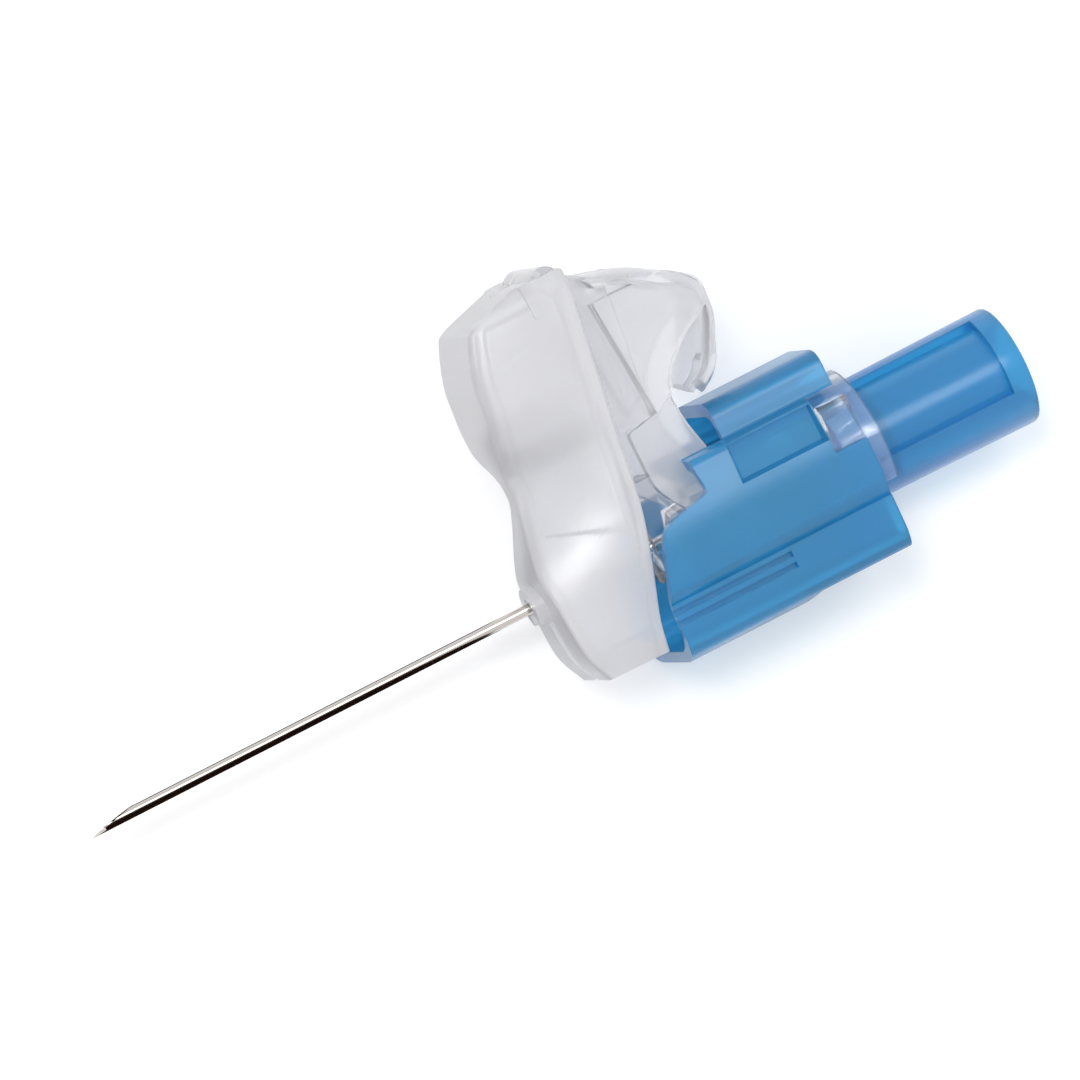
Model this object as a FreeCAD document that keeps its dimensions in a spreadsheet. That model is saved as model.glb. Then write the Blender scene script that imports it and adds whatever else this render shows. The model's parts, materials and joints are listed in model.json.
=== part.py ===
import FreeCAD, Part
import os
import re

import Sketcher
from FreeCAD import Placement, Rotation, Vector

# Safety hypodermic needle lying on its side, as it comes to rest.
# X runs along the needle, with the luer mouth at X = 0 and the tip at minus X.
# Y is the way the folded shield stands, and Z is up from the surface it lies on.
# "Ahead" is a distance from the luer mouth towards the tip.

SIZES = {
    # Cannula
    "cannula_od": 0.60,
    "cannula_bore": 0.34,
    "cannula_start": 9.4,
    "tip_ahead": 55.2,
    "bevel_length": 2.8,
    "point_length": 1.1,
    "point_turn": 38,
    # Luer socket, a 6 percent taper
    "socket_mouth_d": 4.27,
    "socket_taper": 0.06,
    "socket_depth": 8.0,
    "socket_funnel": 0.9,
    # Hub barrel and nose
    "barrel_d": 6.6,
    "barrel_draft": 0.2,
    "barrel_length": 11.0,
    "rim_width": 1.25,
    "rim_chamfer": 0.2,
    "recess_depth": 0.5,
    "recess_angle": 91,
    "recess_turn": 24.5,
    "shoulder_length": 0.5,
    "nose_d": 2.8,
    "nose_ahead": 20.2,
    "well_d": 1.6,
    "well_depth": 1.0,
    # Collar round the nose
    "collar_rear": 9.95,
    "collar_front": 23.3,
    "collar_room": 0.35,
    "collar_bottom": 6.0,
    "collar_wall": 0.65,
    "side_step": 0.1,
    "channel_sink": 0.4,
    "channel_high": 2.05,
    "arm_room_rear": 16.5,
    "web_half": 2.45,
    "web_ahead": 0.5,
    "groove_width": 0.26,
    "groove_depth": 0.25,
    "groove_pitch": 0.62,
    "groove_drop": 3.0,
    "groove_rear": 16.1,
    "window_front": 16.6,
    "window_rear": 12.0,
    "window_low": 1.45,
    "window_high": 3.3,
    "window_depth": 0.3,
    "notch_front": 11.8,
    "notch_low": 0.5,
    "sole_step": 0.3,
    # Clear mount on the nose
    "ring_length": 2.8,
    "ring_gap": 0.1,
    "ring_wall": 0.6,
    "ring_cut": 2.2,
    "flange_gap": 0.2,
    "flange_thick": 0.8,
    "sleeve_gap": 0.15,
    "sleeve_over": 1.7,
    "sleeve_tip": 1.5,
    "saddle_gap": 0.25,
    "saddle_length": 2.7,
    "saddle_high": 3.5,
    "ear_thick": 0.85,
    "ear_room": 0.2,
    "ear_high": 1.4,
    "ear_round": 1.35,
    "tab_proud": 0.7,
    # Folding linkage
    "hinge_ahead": 17.2,
    "pivot_drop": 2.0,
    "arm_length": 17.5,
    "fold_angle": 76.4,
    "trunnion_d": 1.2,
    "knee_pin_d": 1.0,
    "running_gap": 0.05,
    "side_gap": 0.2,
    # Proximal arm with the finger pad
    "leg_gap": 0.35,
    "leg_thick": 0.7,
    "hinge_round": 1.15,
    "knuckle_d": 1.7,
    "pad_half": 3.6,
    "pad_reach": 7.85,
    "pad_thick": 0.7,
    "needle_notch": 1.6,
    "needle_notch_high": 1.6,
    "pad_slot_length": 3.6,
    # Distal arm, the needle shield
    "shield_wall": 0.7,
    "shield_half": 3.9,
    "shield_front": 5.18,
    "shield_front_half": 3.4,
    "shield_rear": 2.26,
    "knee_ear_d": 1.9,
    "ear_proud": 0.1,
    "guide_hole_d": 1.1,
    "boss_d": 2.2,
    "boss_proud": 0.45,
    "top_slot_length": 3.2,
}

os.makedirs("parts", exist_ok=True)
doc = FreeCAD.newDocument("safety_needle")
sheet = doc.addObject("Spreadsheet::Sheet", "Sizes")
for row, (alias, size) in enumerate(SIZES.items(), start=1):
    sheet.set("A%d" % row, alias)
    sheet.set("B%d" % row, str(size))
    sheet.setAlias("B%d" % row, alias)
doc.recompute()

# Sizes that follow from others, because the pieces fit inside and beside each other.
FOLLOWING = {
    "ring_d": "barrel_d + 2 * (ring_gap + ring_wall)",
    "flange_rear": "barrel_length + shoulder_length + flange_gap",
    "ring_rear": "flange_rear - ring_length",
    "web_front": "flange_rear + flange_thick + web_ahead",
    "collar_half": "ring_d / 2 + collar_room + collar_wall",
    "channel_floor": "ring_d / 2 - channel_sink",
    "collar_top": "channel_floor + channel_high",
    "ear_inside": "collar_half - side_step - collar_wall - ear_room - ear_thick",
    "leg_outside": "ear_inside - leg_gap",
    "leg_inside": "leg_outside - leg_thick",
    "channel_half": "leg_outside + leg_gap",
    "saddle_half": "leg_inside - saddle_gap",
    "sleeve_d": "2 * (leg_inside - sleeve_gap)",
    "sleeve_front": "nose_ahead + sleeve_over",
    "saddle_rear": "sleeve_front - saddle_length",
}

# Places that several pieces share, as formulas of the sizes.
HINGE_X = "-hinge_ahead"
PIVOT_Y = "-pivot_drop"
HALF_BASE = "arm_length * cos(fold_angle)"
KNEE_X = "-hinge_ahead - %s" % HALF_BASE
KNEE_Y = "arm_length * sin(fold_angle) - pivot_drop"
GUIDE_X = "-hinge_ahead - 2 * %s" % HALF_BASE
CANNULA_R = "cannula_od / 2"


def in_sheet(formula):
    """The formula with every size written as a cell of the sheet."""
    def cell(word):
        if word[0] in FOLLOWING:
            return "(%s)" % in_sheet(FOLLOWING[word[0]])
        return "Sizes." + word[0] if word[0] in SIZES else word[0]
    return re.sub(r"[a-z_]+\b(?!\()", cell, str(formula))


def value(formula):
    """What a formula of the sizes comes to now."""
    return float(sheet.evalExpression(in_sheet(formula)))


def new_body(label):
    """A body for one moulded or drawn piece."""
    body = doc.addObject("PartDesign::Body", label)
    body.Label = label
    return body


def sketch_on(body, name, role, offset="0", turn=0):
    """A sketch on one of the body's own planes, moved along its normal."""
    sketch = body.newObject("Sketcher::SketchObject", name)
    plane = next(f for f in body.Origin.OriginFeatures if f.Role == role)
    sketch.AttachmentSupport = [(plane, "")]
    sketch.MapMode = "FlatFace"
    sketch.AttachmentOffset = Placement(Vector(0, 0, 0), Rotation(Vector(1, 0, 0), turn))
    if offset != "0":
        sketch.setExpression("AttachmentOffset.Base.z", in_sheet(offset))
    return sketch


def outline(sketch, corners):
    """A closed outline of straight lines, each corner bound to the sizes."""
    places = [Vector(value(x), value(y), 0) for x, y in corners]
    first = sketch.GeometryCount
    count = len(places)
    for i in range(count):
        sketch.addGeometry(Part.LineSegment(places[i], places[(i + 1) % count]), False)
    for i in range(count):
        sketch.addConstraint(Sketcher.Constraint(
            "Coincident", first + i, 2, first + (i + 1) % count, 1))
    for i, (x, y) in enumerate(corners):
        pin_point(sketch, first + i, 1, x, y)


def pin_point(sketch, geometry, end, x, y):
    """Holds one point of a sketch at a place given by formulas."""
    for kind, formula in (("DistanceX", x), ("DistanceY", y)):
        number = sketch.addConstraint(
            Sketcher.Constraint(kind, -1, 1, geometry, end, value(formula)))
        sketch.setExpression("Constraints[%d]" % number, in_sheet(formula))


def circle(sketch, x, y, radius):
    """A circle whose centre and radius are bound to the sizes."""
    round_edge = Part.Circle(Vector(value(x), value(y), 0), Vector(0, 0, 1), value(radius))
    number = sketch.addGeometry(round_edge, False)
    pin_point(sketch, number, 3, x, y)
    held = sketch.addConstraint(Sketcher.Constraint("Radius", number, value(radius)))
    sketch.setExpression("Constraints[%d]" % held, in_sheet(radius))


def feature(body, kind, name, profile, length=None, both_sides=False, back=False):
    """A pad or a pocket of a sketch, its length bound to the sizes."""
    item = body.newObject("PartDesign::" + kind, name)
    item.Profile = profile
    item.Midplane = both_sides
    item.Reversed = back
    if length is None:
        item.Type = "ThroughAll"
    else:
        item.setExpression("Length", in_sheet(length))
    return item


def turned(body, kind, name, profile, angle=None):
    """A revolution or a groove round the needle's axis."""
    item = body.newObject("PartDesign::" + kind, name)
    item.Profile = profile
    item.ReferenceAxis = (profile, ["H_Axis"])
    if angle:
        item.Midplane = True
        item.setExpression("Angle", in_sheet(angle))
    else:
        item.Angle = 360
    return item


def mirrored(body, name, originals):
    """The same features on the other side of the needle's middle plane."""
    item = body.newObject("PartDesign::Mirrored", name)
    item.Originals = originals
    plane = next(f for f in body.Origin.OriginFeatures if f.Role == "XY_Plane")
    item.MirrorPlane = (plane, [""])
    body.Tip = item
    return item


def ahead(name):
    """The X place that lies the named size ahead of the luer mouth."""
    return "-(%s)" % name


def make_cannula():
    """Drawn steel tube with a lancet point: one long bevel and two short side grinds."""
    body = new_body("cannula")
    ring = sketch_on(body, "tube_section", "YZ_Plane", ahead("tip_ahead"))
    circle(ring, "0", "0", CANNULA_R)
    circle(ring, "0", "0", "cannula_bore / 2")
    feature(body, "Pad", "tube", ring, "tip_ahead - cannula_start")
    past = "cannula_od"
    bevel = sketch_on(body, "bevel_profile", "XY_Plane")
    outline(bevel, [
        (ahead("tip_ahead"), "-%s" % CANNULA_R),
        ("bevel_length - tip_ahead", CANNULA_R),
        ("bevel_length - tip_ahead", "%s + %s" % (CANNULA_R, past)),
        (ahead("tip_ahead + %s" % past), "%s + %s" % (CANNULA_R, past)),
        (ahead("tip_ahead + %s" % past), "-%s" % CANNULA_R),
    ])
    feature(body, "Pocket", "long_bevel", bevel, both_sides=True)
    for side, name in ((1, "near_grind"), (-1, "far_grind")):
        grind = sketch_on(body, name + "_profile", "XY_Plane", turn=side * value("point_turn"))
        outline(grind, [
            (ahead("tip_ahead"), "-%s" % CANNULA_R),
            ("point_length - tip_ahead", "0"),
            ("point_length - tip_ahead", "2 * %s" % past),
            (ahead("tip_ahead + %s" % past), "2 * %s" % past),
            (ahead("tip_ahead + %s" % past), "-%s" % CANNULA_R),
        ])
        feature(body, "Pocket", name, grind, both_sides=True)
    return body


def make_adhesive():
    """Cured bead that holds the cannula in the well of the nose."""
    body = new_body("adhesive_bead")
    bead = sketch_on(body, "bead_profile", "XY_Plane")
    outline(bead, [
        ("well_depth - nose_ahead", CANNULA_R),
        ("well_depth - nose_ahead", "well_d / 2"),
        (ahead("nose_ahead"), "well_d / 2"),
        (ahead("nose_ahead + (well_d - cannula_od) / 4"), CANNULA_R),
    ])
    turned(body, "Revolution", "bead", bead)
    return body


# The collar's outside from below to above, as (height, half width) of its section.
COLLAR_OUTSIDE = [
    ("-collar_bottom", "collar_half - 2.0"),
    ("-collar_bottom + 0.45", "collar_half - 0.9"),
    ("-collar_bottom + 1.2", "collar_half - 0.3"),
    ("-collar_bottom + 3.5", "collar_half - 0.25"),
    ("-collar_bottom + 3.8", "collar_half"),
    ("window_low - 0.55", "collar_half"),
    ("window_low - 0.15", "collar_half - side_step"),
    ("channel_floor - 0.1", "collar_half - side_step"),
    ("channel_floor", "channel_half"),
    ("collar_top - 0.5", "channel_half - 0.15"),
    ("collar_top", "channel_half - 0.7"),
]
# The same for the hollow inside it.
COLLAR_INSIDE = [
    ("-collar_bottom + collar_wall", "collar_half - 2.3"),
    ("-collar_bottom + collar_wall + 0.3", "collar_half - collar_wall - 0.75"),
    ("-collar_bottom + collar_wall + 0.8", "collar_half - collar_wall - 0.25"),
    ("-collar_bottom + 3.6", "collar_half - collar_wall - 0.2"),
    ("-collar_bottom + 3.9", "collar_half - collar_wall"),
    ("window_low - 0.7", "collar_half - collar_wall"),
    ("window_low - 0.3", "collar_half - side_step - collar_wall"),
    ("channel_floor - collar_wall", "collar_half - side_step - collar_wall"),
    ("channel_floor - collar_wall + 0.1", "channel_half - 0.45"),
    ("collar_top - collar_wall", "channel_half - 0.8"),
]


def both_halves(half):
    """A closed section from its half, mirrored in the middle plane."""
    return half + [(height, "-(%s)" % width) for height, width in reversed(half)]


def make_hub():
    """Blue moulding: luer barrel, nose for the cannula, and the collar round the nose."""
    body = new_body("needle_hub")
    section = sketch_on(body, "collar_section", "YZ_Plane", ahead("collar_front"))
    outline(section, both_halves(COLLAR_OUTSIDE))
    outline(section, both_halves(COLLAR_INSIDE))
    feature(body, "Pad", "collar", section, "collar_front - collar_rear")

    front = sketch_on(body, "front_edge", "XY_Plane")
    outline(front, [
        (ahead("collar_front + 3"), "-collar_bottom - 1"),
        (ahead("collar_front - 0.5"), "-collar_bottom - 1"),
        (ahead("collar_front - 0.1"), "-collar_bottom + 0.5"),
        (ahead("collar_front - 0.2"), "-collar_bottom + 3.5"),
        (ahead("collar_front - 1.1"), "0.2"),
        (ahead("collar_front - 1.6"), "1.1"),
        (ahead("collar_front - 4.5"), "1.7"),
        (ahead("collar_front - 4.2"), "4.6"),
        (ahead("collar_front - 5.6"), "4.9"),
        (ahead("collar_front - 6.0"), "collar_top + 1"),
        (ahead("collar_front + 3"), "collar_top + 1"),
    ])
    feature(body, "Pocket", "front_cut", front, both_sides=True)

    notch = sketch_on(body, "rear_notch", "XY_Plane")
    outline(notch, [
        (ahead("notch_front"), "notch_low"),
        (ahead("collar_rear - 1"), "notch_low"),
        (ahead("collar_rear - 1"), "channel_floor"),
        (ahead("notch_front"), "channel_floor"),
    ])
    feature(body, "Pocket", "tab_notch", notch, both_sides=True)

    room = sketch_on(body, "arm_room", "XY_Plane")
    outline(room, [
        (ahead("collar_front"), "channel_floor - collar_wall - 0.1"),
        (ahead("arm_room_rear"), "channel_floor - collar_wall - 0.1"),
        (ahead("arm_room_rear"), "collar_top + 1"),
        (ahead("collar_front"), "collar_top + 1"),
    ])
    feature(body, "Pocket", "arm_gap", room, "2 * (channel_half + 0.05)", both_sides=True)

    sole = sketch_on(body, "rear_sole", "XY_Plane")
    outline(sole, [
        (ahead("groove_rear + 0.1"), "-collar_bottom - 1"),
        (ahead("groove_rear + 0.1"), "-collar_bottom"),
        (ahead("groove_rear - 0.8"), "-collar_bottom + sole_step"),
        (ahead("collar_rear - 1"), "-collar_bottom + sole_step"),
        (ahead("collar_rear - 1"), "-collar_bottom - 1"),
    ])
    feature(body, "Pocket", "sole_cut", sole, both_sides=True)

    window = sketch_on(body, "window_outline", "XY_Plane",
                       "collar_half - side_step - window_depth")
    outline(window, [
        (ahead("window_front"), "window_low"),
        (ahead("window_rear"), "window_low"),
        (ahead("window_rear"), "window_high"),
        (ahead("window_front"), "window_high"),
    ])
    recess = feature(body, "Pocket", "window", window, "window_depth + 1", back=True)

    grips = sketch_on(body, "grip_outline", "XY_Plane",
                      "collar_half - 0.3 - groove_depth")
    for number in range(2):
        top = "-groove_drop - %d * groove_pitch" % number
        outline(grips, [
            (ahead("collar_front + 1"), "%s - groove_width" % top),
            (ahead("groove_rear"), "%s - groove_width" % top),
            (ahead("groove_rear"), top),
            (ahead("collar_front + 1"), top),
        ])
    grooves = feature(body, "Pocket", "grip_grooves", grips, "groove_depth + 1", back=True)
    mirrored(body, "far_side", [recess, grooves])

    web = sketch_on(body, "web_section", "YZ_Plane", ahead("web_front"))
    outline(web, [
        ("-collar_bottom + sole_step + collar_wall / 2", "-web_half"),
        ("-collar_bottom + sole_step + collar_wall / 2", "web_half"),
        ("-nose_d / 4", "web_half"),
        ("-nose_d / 4", "-web_half"),
    ])
    feature(body, "Pad", "web", web, "web_front - collar_rear")

    profile = sketch_on(body, "hub_profile", "XY_Plane")
    outline(profile, [
        (ahead("rim_chamfer"), "barrel_d / 2"),
        (ahead("barrel_length"), "(barrel_d - barrel_draft) / 2"),
        (ahead("barrel_length + shoulder_length"), "nose_d / 2"),
        (ahead("nose_ahead"), "nose_d / 2"),
        (ahead("nose_ahead"), "0"),
        ("0", "0"),
        ("0", "barrel_d / 2 - rim_chamfer"),
    ])
    turned(body, "Revolution", "barrel_and_nose", profile)

    bore = sketch_on(body, "bore_profile", "XY_Plane")
    outline(bore, [
        ("1", "0"),
        ("1", "socket_mouth_d / 2 + socket_taper / 2"),
        (ahead("socket_depth"), "(socket_mouth_d - socket_taper * socket_depth) / 2"),
        (ahead("socket_depth"), "socket_mouth_d / 4"),
        (ahead("socket_depth + socket_funnel"), CANNULA_R),
        ("well_depth - nose_ahead", CANNULA_R),
        ("well_depth - nose_ahead", "well_d / 2"),
        (ahead("nose_ahead + 1"), "well_d / 2"),
        (ahead("nose_ahead + 1"), "0"),
    ])
    turned(body, "Groove", "bore", bore)

    side = sketch_on(body, "side_recess_profile", "XZ_Plane", turn=-value("recess_turn"))
    outline(side, [
        (ahead("collar_rear - 0.6"), "barrel_d / 2 - recess_depth"),
        (ahead("collar_rear - 0.6"), "barrel_d / 2 + 1"),
        (ahead("rim_width"), "barrel_d / 2 + 1"),
        (ahead("rim_width"), "barrel_d / 2 - recess_depth"),
    ])
    groove = turned(body, "Groove", "side_recess", side, "recess_angle")
    mirrored(body, "far_recess", [groove])
    return body


def make_mount():
    """Clear moulding: split ring, sleeve on the nose, saddle and two hinge ears."""
    body = new_body("shield_mount")
    ring = sketch_on(body, "ring_section", "YZ_Plane", ahead("flange_rear"))
    circle(ring, "0", "0", "ring_d / 2")
    feature(body, "Pad", "ring", ring, "flange_rear - ring_rear")

    flange = sketch_on(body, "flange_section", "YZ_Plane", ahead("flange_rear + flange_thick"))
    circle(flange, "0", "0", "ring_d / 2")
    feature(body, "Pad", "flange", flange, "flange_thick")

    sleeve = sketch_on(body, "sleeve_section", "YZ_Plane", ahead("sleeve_front"))
    circle(sleeve, "0", "0", "sleeve_d / 2")
    feature(body, "Pad", "sleeve", sleeve, "sleeve_front - flange_rear - flange_thick")

    saddle = sketch_on(body, "saddle_outline", "XY_Plane")
    outline(saddle, [
        (ahead("sleeve_front"), "0"),
        (ahead("saddle_rear"), "0"),
        (ahead("saddle_rear"), "saddle_high - 1.2"),
        (ahead("saddle_rear + 1.0"), "saddle_high"),
        (ahead("sleeve_front - 0.5"), "saddle_high"),
        (ahead("sleeve_front"), "saddle_high - 0.6"),
    ])
    feature(body, "Pad", "saddle", saddle, "2 * saddle_half", both_sides=True)

    tab = sketch_on(body, "tab_outline", "XY_Plane", "ring_d / 4")
    outline(tab, [
        (ahead("notch_front - side_gap"), "notch_low + side_gap"),
        (ahead("collar_rear"), "notch_low + side_gap"),
        (ahead("collar_rear"), "channel_floor - 3 * side_gap"),
        (ahead("notch_front - side_gap"), "channel_floor - 3 * side_gap"),
    ])
    near_tab = feature(body, "Pad", "tab", tab, "ring_d / 4 + tab_proud")

    ear = sketch_on(body, "ear_outline", "XY_Plane", "ear_inside")
    outline(ear, [
        (ahead("flange_rear"), "-ring_cut"),
        (ahead("flange_rear"), "ear_high"),
        (ahead("hinge_ahead + 0.4"), "ear_high"),
        (ahead("hinge_ahead + ear_round"), "%s + 0.7" % PIVOT_Y),
        (ahead("hinge_ahead + ear_round"), "%s - 0.6" % PIVOT_Y),
        (ahead("hinge_ahead + 0.6"), "%s - ear_round" % PIVOT_Y),
        (ahead("hinge_ahead - 0.6"), "%s - ear_round" % PIVOT_Y),
    ])
    near_ear = feature(body, "Pad", "ear", ear, "ear_thick")
    hole = sketch_on(body, "ear_hole", "XY_Plane", "ear_inside - side_gap / 2")
    circle(hole, HINGE_X, PIVOT_Y, "trunnion_d / 2 + running_gap")
    near_hole = feature(body, "Pocket", "hinge_hole", hole, "ear_thick + side_gap", back=True)
    mirrored(body, "far_side", [near_tab, near_ear, near_hole])

    bore = sketch_on(body, "bore_profile", "XY_Plane")
    outline(bore, [
        (ahead("ring_rear - 1"), "0"),
        (ahead("ring_rear - 1"), "ring_d / 2 - ring_wall"),
        (ahead("flange_rear"), "ring_d / 2 - ring_wall"),
        (ahead("flange_rear"), "nose_d / 2 + running_gap"),
        (ahead("nose_ahead + side_gap"), "nose_d / 2 + running_gap"),
        (ahead("sleeve_front - sleeve_tip + 0.3"), "%s + running_gap" % CANNULA_R),
        (ahead("sleeve_front + 1"), "%s + running_gap" % CANNULA_R),
        (ahead("sleeve_front + 1"), "0"),
    ])
    turned(body, "Groove", "bore", bore)

    gap = sketch_on(body, "split", "YZ_Plane", ahead("web_front + side_gap"))
    outline(gap, [
        ("-ring_d", "-web_half - side_gap"),
        ("-nose_d / 4 + side_gap", "-web_half - side_gap"),
        ("-nose_d / 4 + side_gap", "web_half + side_gap"),
        ("-ring_d", "web_half + side_gap"),
    ])
    feature(body, "Pocket", "web_slot", gap, "web_front + side_gap", back=True)
    under = sketch_on(body, "ring_split", "YZ_Plane", ahead("flange_rear"))
    outline(under, [
        ("-ring_d", "-ring_d"),
        ("-ring_cut", "-ring_d"),
        ("-ring_cut", "ring_d"),
        ("-ring_d", "ring_d"),
    ])
    feature(body, "Pocket", "ring_opening", under, "flange_rear", back=True)
    return body


# The finger pad's outside from the knee pivot, as shares of its reach rearwards and of
# the drop from the knee to the collar's top.
PAD_OUTSIDE = [
    (0.204, -0.037),
    (0.408, -0.080),
    (0.599, -0.139),
    (0.777, -0.224),
    (0.917, -0.294),
    (1.000, -0.363),
    (1.000, -0.491),
    (0.930, -0.705),
    (0.866, -0.833),
    (0.790, -0.908),
    (0.701, -0.956),
]


def from_knee(rearward, up):
    """A place given from the knee pivot, in the same shares as the pad's outside."""
    return ("%s + %s * pad_reach" % (KNEE_X, rearward),
            "%s + %s * (%s - collar_top)" % (KNEE_Y, up, KNEE_Y))


def pad_inside():
    """The pad's inner face: its outside moved in by the pad's thickness."""
    outside = [from_knee(x, y) for x, y in PAD_OUTSIDE]
    places = [Vector(value(x), value(y), 0) for x, y in outside]
    last = len(places) - 1
    points = []
    for i, (x, y) in enumerate(outside):
        run = (places[min(i + 1, last)] - places[max(i - 1, 0)]).normalize()
        points.append(("%s + %s * pad_thick" % (x, run.y), "%s - %s * pad_thick" % (y, run.x)))
    return points


def make_proximal_arm():
    """Clear moulding: knuckle, two side walls that end in fork legs, and the finger pad."""
    body = new_body("proximal_arm")
    pad = sketch_on(body, "pad_outline", "XY_Plane")
    outline(pad, [from_knee(x, y) for x, y in PAD_OUTSIDE] + pad_inside()[::-1])
    feature(body, "Pad", "finger_pad", pad, "2 * pad_half", both_sides=True)

    side = sketch_on(body, "wall_outline", "XY_Plane", "leg_inside")
    outline(side, [
        from_knee(-0.076, -0.059),
        from_knee(0.025, 0.085),
        from_knee(0.217, -0.075),
        from_knee(0.586, -0.176),
        from_knee(0.841, -0.310),
        from_knee(0.917, -0.449),
        from_knee(0.803, -0.641),
        from_knee(0.586, -0.748),
        from_knee(0.497, -0.876),
        from_knee(0.510, -1.068),
        ("%s + hinge_round" % HINGE_X, "%s + 0.6" % PIVOT_Y),
        ("%s + hinge_round" % HINGE_X, "%s - 0.4" % PIVOT_Y),
        ("%s + 0.5" % HINGE_X, "%s - hinge_round" % PIVOT_Y),
        ("%s - 0.5" % HINGE_X, "%s - hinge_round" % PIVOT_Y),
        ("%s - hinge_round" % HINGE_X, "%s - 0.4" % PIVOT_Y),
        ("%s - hinge_round - 0.2" % HINGE_X, "%s + 1.2" % PIVOT_Y),
        from_knee(0.306, -0.940),
        from_knee(0.217, -0.278),
    ])
    wall = feature(body, "Pad", "side_wall", side, "leg_thick")
    pins = sketch_on(body, "hinge_pin", "XY_Plane", "leg_outside - leg_thick / 2")
    circle(pins, HINGE_X, PIVOT_Y, "trunnion_d / 2")
    hinge = feature(body, "Pad", "trunnion", pins, "ear_inside + ear_thick - leg_outside"
                    " + leg_thick / 2")
    mirrored(body, "far_side", [wall, hinge])

    barrel = sketch_on(body, "knuckle_outline", "XY_Plane")
    circle(barrel, KNEE_X, KNEE_Y, "knuckle_d / 2")
    feature(body, "Pad", "knuckle", barrel, "2 * leg_outside", both_sides=True)
    knee = sketch_on(body, "knee_pin", "XY_Plane")
    circle(knee, KNEE_X, KNEE_Y, "knee_pin_d / 2")
    feature(body, "Pad", "knee_pin", knee, "2 * (shield_half + ear_proud)", both_sides=True)

    slot = sketch_on(body, "needle_notch", "XY_Plane")
    low_x, low_y = from_knee(*PAD_OUTSIDE[-1])
    outline(slot, [
        ("%s - 4 * pad_thick" % low_x, "%s - 2 * pad_thick" % low_y),
        ("%s + 4 * pad_thick" % low_x, "%s - 2 * pad_thick" % low_y),
        ("%s + 4 * pad_thick" % low_x, "%s + needle_notch_high" % low_y),
        ("%s - 4 * pad_thick" % low_x, "%s + needle_notch_high" % low_y),
    ])
    outline(slot, [
        ("%s + knuckle_d / 2 + side_gap" % KNEE_X, "%s - knuckle_d" % KNEE_Y),
        ("%s + pad_slot_length" % KNEE_X, "%s - knuckle_d" % KNEE_Y),
        ("%s + pad_slot_length" % KNEE_X, "%s + knuckle_d" % KNEE_Y),
        ("%s + knuckle_d / 2 + side_gap" % KNEE_X, "%s + knuckle_d" % KNEE_Y),
    ])
    feature(body, "Pocket", "needle_slot", slot, "needle_notch", both_sides=True)
    return body


# Sections of the shield from its lower end to its top, taken across its height: share of
# the way from the pivots' line up to the knee, then four shares of the sizes above: the
# depth in front of the arm's centre line, the half width there, the depth behind the
# centre line, and the half width there.
SHIELD_SECTIONS = [
    (-0.171, 0.232, 0.853, 0.973, 0.846),
    (-0.071, 0.446, 0.912, 0.903, 0.897),
    (0.088, 0.610, 0.853, 0.969, 0.949),
    (0.218, 0.732, 0.676, 1.000, 0.974),
    (0.424, 0.703, 0.265, 0.867, 1.000),
    (0.482, 0.749, 0.235, 0.805, 1.000),
    (0.612, 0.900, 0.794, 0.704, 1.000),
    (0.718, 0.954, 1.000, 0.624, 1.000),
    (0.824, 1.000, 1.000, 0.540, 1.000),
    (0.959, 0.952, 0.971, 0.407, 1.000),
    (1.029, 0.367, 0.912, 0.221, 1.000),
]


def shield_section(shares):
    """One section's height share, and its depths and half widths as formulas."""
    share, front, front_half, rear, rear_half = shares
    return (share, "shield_front * %s" % front, "shield_front_half * %s" % front_half,
            "shield_rear * %s" % rear, "shield_half * %s" % rear_half)


def shield_loft(body, kind, name, wall, rear_extra):
    """A loft through the shield's sections, its sides parallel to the outside a wall inwards."""
    sketches = []
    last = len(SHIELD_SECTIONS) - 1
    for number, section_shares in enumerate(SHIELD_SECTIONS):
        share, front, front_half, rear, rear_half = shield_section(section_shares)
        height = "%s + %s * arm_length * sin(fold_angle)" % (PIVOT_Y, share)
        if number in (0, last):
            height += " %s %s" % ("+" if number == 0 else "-", wall)
        centre = "%s + %s * %s" % (GUIDE_X, share, HALF_BASE)
        lean = "(%s - %s) / (%s + %s)" % (rear_half, front_half, front, rear)
        front_wide = "%s + (%s - 1) * %s" % (front_half, lean, wall)
        rear_wide = "%s - %s + %s * %s" % (rear_half, wall, rear_extra, lean)
        section = sketch_on(body, "%s_section_%d" % (name, number + 1), "XZ_Plane",
                            "-(%s)" % height)
        outline(section, [
            ("%s - %s + %s" % (centre, front, wall), "-(%s)" % front_wide),
            ("%s + %s + %s" % (centre, rear, rear_extra), "-(%s)" % rear_wide),
            ("%s + %s + %s" % (centre, rear, rear_extra), rear_wide),
            ("%s - %s + %s" % (centre, front, wall), front_wide),
        ])
        sketches.append(section)
    loft = body.newObject("PartDesign::" + kind, name)
    loft.Profile = sketches[0]
    loft.Sections = sketches[1:]
    loft.Ruled = True
    return loft


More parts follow.
